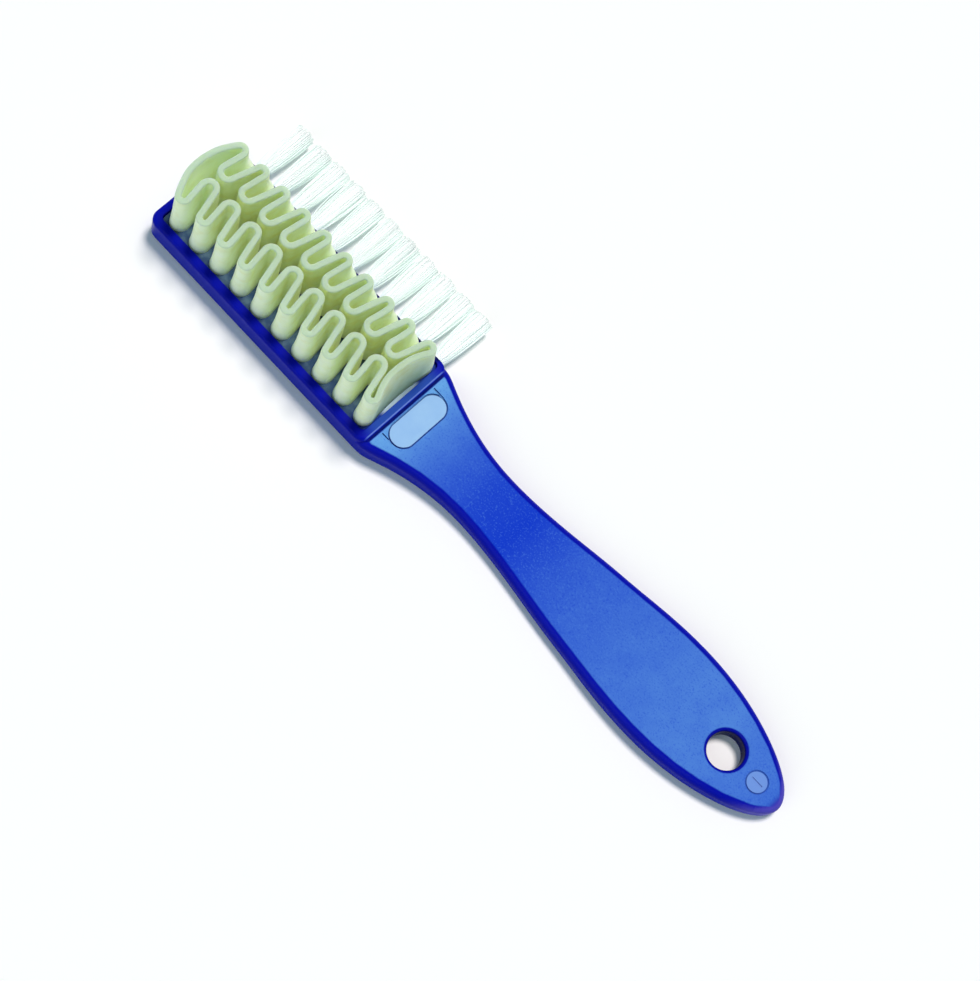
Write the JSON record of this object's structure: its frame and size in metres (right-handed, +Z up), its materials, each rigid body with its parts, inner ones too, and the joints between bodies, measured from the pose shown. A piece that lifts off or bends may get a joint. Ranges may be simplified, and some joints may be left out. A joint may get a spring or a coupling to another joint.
{
  "type": "suede brush",
  "caption": "Flat hand brush for suede: a wavy crepe rubber block stands in a tray on the head, a row of bristle tufts leaves one long side, and the handle ends in a round hanging hole.",
  "frame": {"origin": "On the flat back of the handle, on its centre line, half way between the far end of the head and the tip of the handle.", "axes": "+X along the handle to the hanging end, +Y to the bristle tufts, +Z up from the flat back to the crepe block."},
  "size_m": [0.19, 0.0425, 0.0224],
  "materials": {
    "blue_plastic": "moulded blue plastic, finely textured on top and smooth at the edges",
    "crepe_rubber": "pale green crepe rubber, soft and matte",
    "nylon_bristle": "white nylon filaments, slightly clear",
    "anchor_steel": "plain flat wire"
  },
  "bodies": {
    "root": {"handle": "blue_plastic", "crepe_insert": "crepe_rubber", "tuft_01": "nylon_bristle", "tuft_02": "nylon_bristle", "tuft_03": "nylon_bristle", "tuft_04": "nylon_bristle", "tuft_05": "nylon_bristle", "tuft_06": "nylon_bristle", "tuft_07": "nylon_bristle", "tuft_08": "nylon_bristle", "tuft_09": "nylon_bristle", "tuft_10": "nylon_bristle", "tuft_11": "nylon_bristle", "tuft_anchor_01": "anchor_steel", "tuft_anchor_02": "anchor_steel", "tuft_anchor_03": "anchor_steel", "tuft_anchor_04": "anchor_steel", "tuft_anchor_05": "anchor_steel", "tuft_anchor_06": "anchor_steel", "tuft_anchor_07": "anchor_steel", "tuft_anchor_08": "anchor_steel", "tuft_anchor_09": "anchor_steel", "tuft_anchor_10": "anchor_steel", "tuft_anchor_11": "anchor_steel"}
  },
  "joints": []
}
